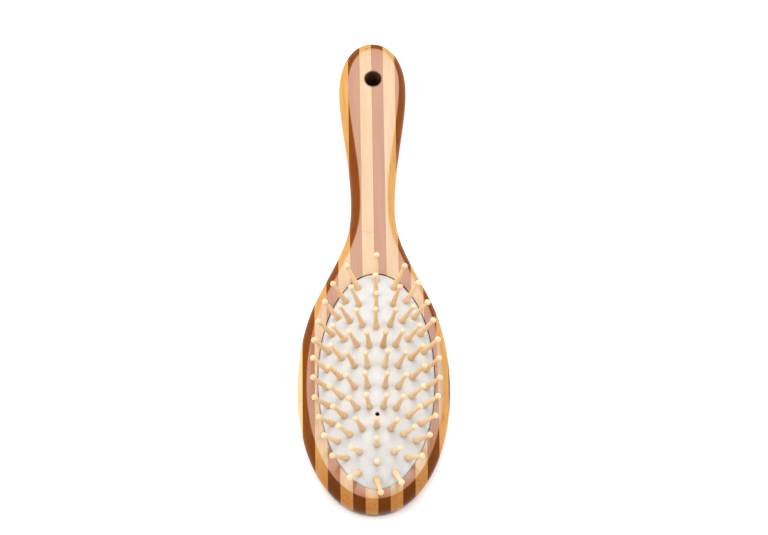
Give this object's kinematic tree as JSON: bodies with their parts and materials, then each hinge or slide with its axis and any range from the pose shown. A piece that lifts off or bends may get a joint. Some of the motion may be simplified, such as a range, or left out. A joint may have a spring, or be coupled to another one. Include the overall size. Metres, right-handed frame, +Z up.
{
  "type": "oval cushion hair brush",
  "caption": "Oval laminated bamboo hair brush with a long handle, a domed rubber cushion and rings of ball-tipped wooden pins.",
  "frame": {"origin": "centre of the bounding box in X and Y, on the plane of the flat back", "axes": "+Z up out of the cushion, along the pins; +Y along the brush from the head to the end of the handle; +X across it"},
  "size_m": [0.0626, 0.2184, 0.0309],
  "materials": {
    "light_bamboo": "clear satin lacquer on natural bamboo",
    "dark_bamboo": "clear satin lacquer on carbonised bamboo",
    "rubber": "matt, finely ribbed",
    "pin_wood": "turned and polished"
  },
  "bodies": {
    "board": {"strip_01": "light_bamboo", "strip_02": "dark_bamboo", "strip_03": "light_bamboo", "strip_04": "dark_bamboo", "strip_05": "light_bamboo", "strip_06": "dark_bamboo", "strip_07": "light_bamboo", "strip_08": "dark_bamboo", "strip_09": "light_bamboo", "strip_10": "dark_bamboo", "strip_11": "light_bamboo", "strip_12": "dark_bamboo", "strip_13": "light_bamboo", "grip_sliver_left": "light_bamboo", "grip_sliver_right": "dark_bamboo", "cushion": "rubber"},
    "inner_ring": {"pins_inner_01": "pin_wood", "pins_inner_02": "pin_wood", "pins_inner_03": "pin_wood", "pins_inner_04": "pin_wood", "pins_inner_05": "pin_wood"},
    "third_ring": {"pins_third_01": "pin_wood", "pins_third_02": "pin_wood", "pins_third_03": "pin_wood", "pins_third_04": "pin_wood", "pins_third_05": "pin_wood", "pins_third_06": "pin_wood", "pins_third_07": "pin_wood"},
    "second_ring": {"pins_second_01": "pin_wood", "pins_second_02": "pin_wood", "pins_second_03": "pin_wood", "pins_second_04": "pin_wood", "pins_second_05": "pin_wood", "pins_second_06": "pin_wood", "pins_second_07": "pin_wood", "pins_second_08": "pin_wood", "pins_second_09": "pin_wood", "pins_second_10": "pin_wood"},
    "outer_ring": {"pins_outer_01": "pin_wood", "pins_outer_02": "pin_wood", "pins_outer_03": "pin_wood", "pins_outer_04": "pin_wood", "pins_outer_05": "pin_wood", "pins_outer_06": "pin_wood", "pins_outer_07": "pin_wood", "pins_outer_08": "pin_wood", "pins_outer_09": "pin_wood", "pins_outer_10": "pin_wood", "pins_outer_11": "pin_wood", "pins_outer_12": "pin_wood", "pins_outer_13": "pin_wood"}
  },
  "joints": [
    {"name": "cushion_press", "type": "slide", "parent": "board", "child": "inner_ring", "axis": [0, 0, 1], "range_m": [-0.0026, 0], "stiffness_N_per_m": 600, "deforming": ["cushion"]},
    {"name": "third_ring_press", "type": "slide", "parent": "board", "child": "third_ring", "axis": [0, 0, 1], "range_m": [-0.00234, 0], "stiffness_N_per_m": 600},
    {"name": "second_ring_press", "type": "slide", "parent": "board", "child": "second_ring", "axis": [0, 0, 1], "range_m": [-0.00173, 0], "stiffness_N_per_m": 600},
    {"name": "outer_ring_press", "type": "slide", "parent": "board", "child": "outer_ring", "axis": [0, 0, 1], "range_m": [-0.00081, 0], "stiffness_N_per_m": 600}
  ],
  "couplings": [
    {"joint": "third_ring_press", "follows": "cushion_press", "ratio": 0.8807},
    {"joint": "second_ring_press", "follows": "cushion_press", "ratio": 0.6463},
    {"joint": "outer_ring_press", "follows": "cushion_press", "ratio": 0.2934}
  ]
}
